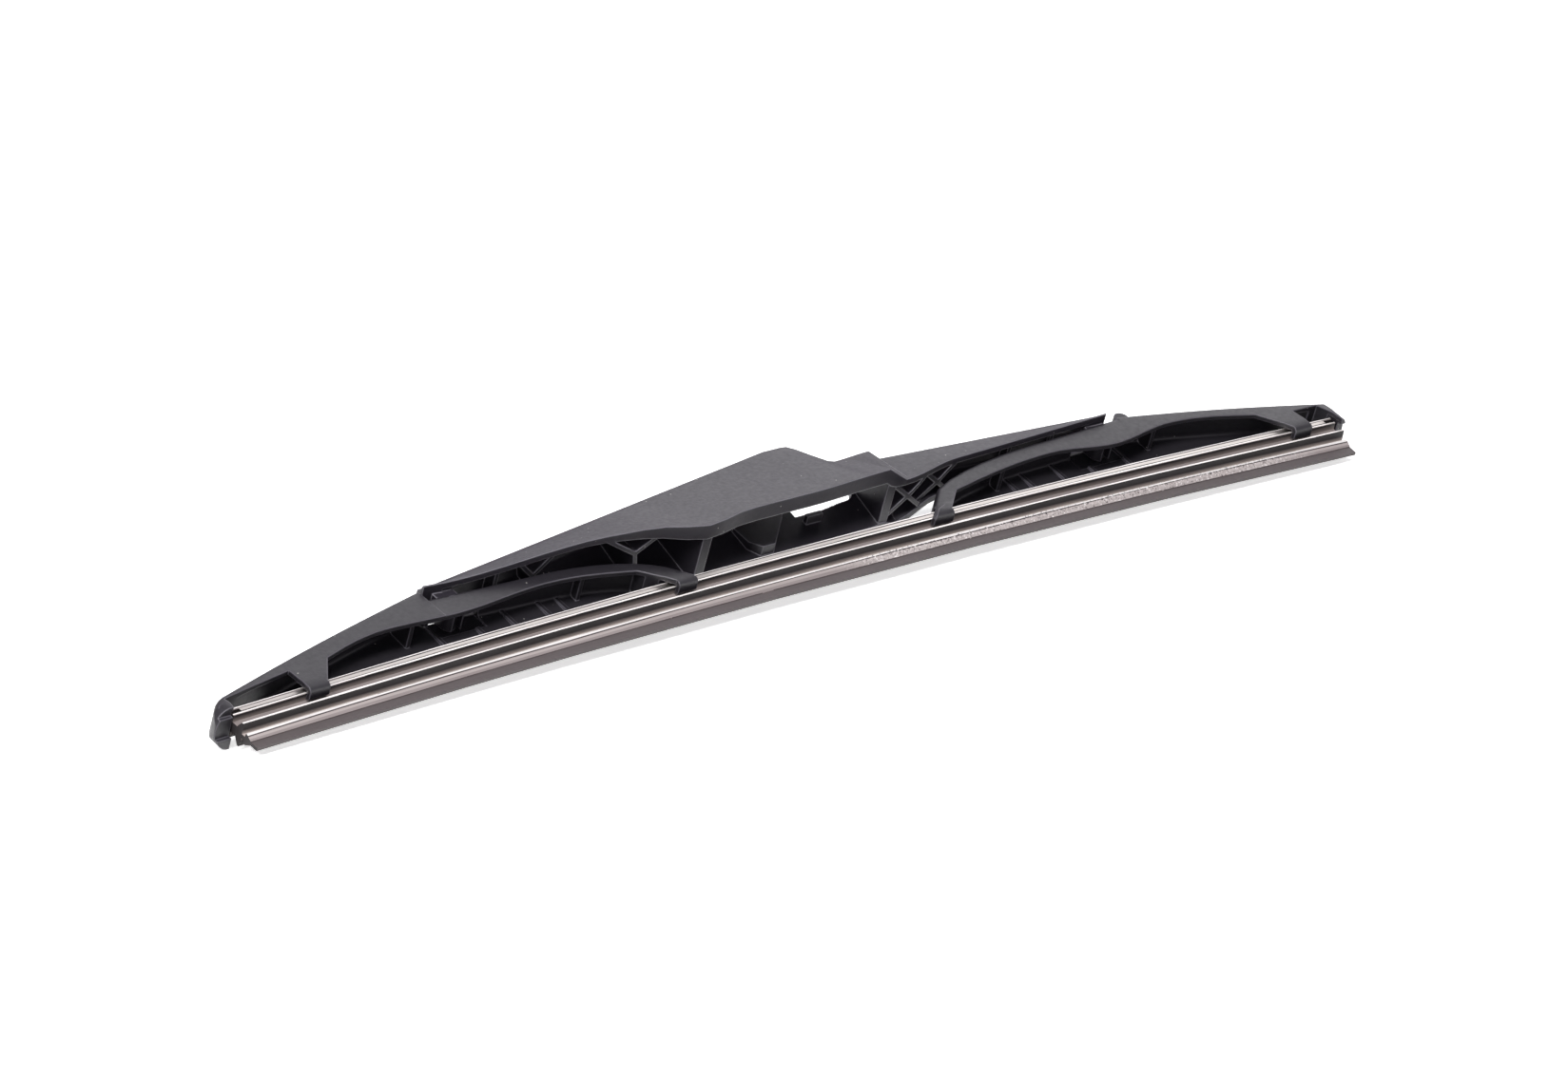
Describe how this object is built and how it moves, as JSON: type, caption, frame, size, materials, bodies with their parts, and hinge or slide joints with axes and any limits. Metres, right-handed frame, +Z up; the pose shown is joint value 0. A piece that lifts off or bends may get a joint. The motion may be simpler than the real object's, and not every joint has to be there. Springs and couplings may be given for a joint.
{
  "type": "wiper blade",
  "caption": "Rear-window wiper blade: moulded primary lever with hinged claw yokes holding a grooved rubber wiping element stiffened by steel rails.",
  "frame": {"origin": "middle of the footprint's box, on the surface the blade lies on", "axes": "+X along the blade towards the longer arm, +Z up from the surface, +Y from the lip towards the lever's crest"},
  "size_m": [0.3074, 0.0428, 0.0202],
  "materials": {
    "lever_plastic": "fine-grained black moulding",
    "yoke_plastic": "fine-grained black moulding",
    "rubber": "graphite-coated, satin",
    "rail_steel": "bright rolled strip"
  },
  "bodies": {
    "lever": {"primary_lever": "lever_plastic", "rubber_element": "rubber", "rail_near": "rail_steel", "rail_far": "rail_steel"},
    "left_yoke_body": {"left_yoke": "yoke_plastic"},
    "right_yoke_body": {"right_yoke": "yoke_plastic"}
  },
  "joints": [
    {"name": "left_yoke_rock", "type": "hinge", "parent": "lever", "child": "left_yoke_body", "pos_m": [-0.083, 0.00084, 0.00994], "axis": [0, 0.3434, -0.9392], "range_deg": [-4, 5], "stiffness_Nm_per_rad": 0.05, "deforming": ["rubber_element", "rail_near", "rail_far"]},
    {"name": "right_yoke_rock", "type": "hinge", "parent": "lever", "child": "right_yoke_body", "pos_m": [0.0955, 0.00084, 0.00994], "axis": [0, 0.3434, -0.9392], "range_deg": [-5, 2.6], "stiffness_Nm_per_rad": 0.05, "deforming": ["rubber_element", "rail_near", "rail_far"]}
  ]
}
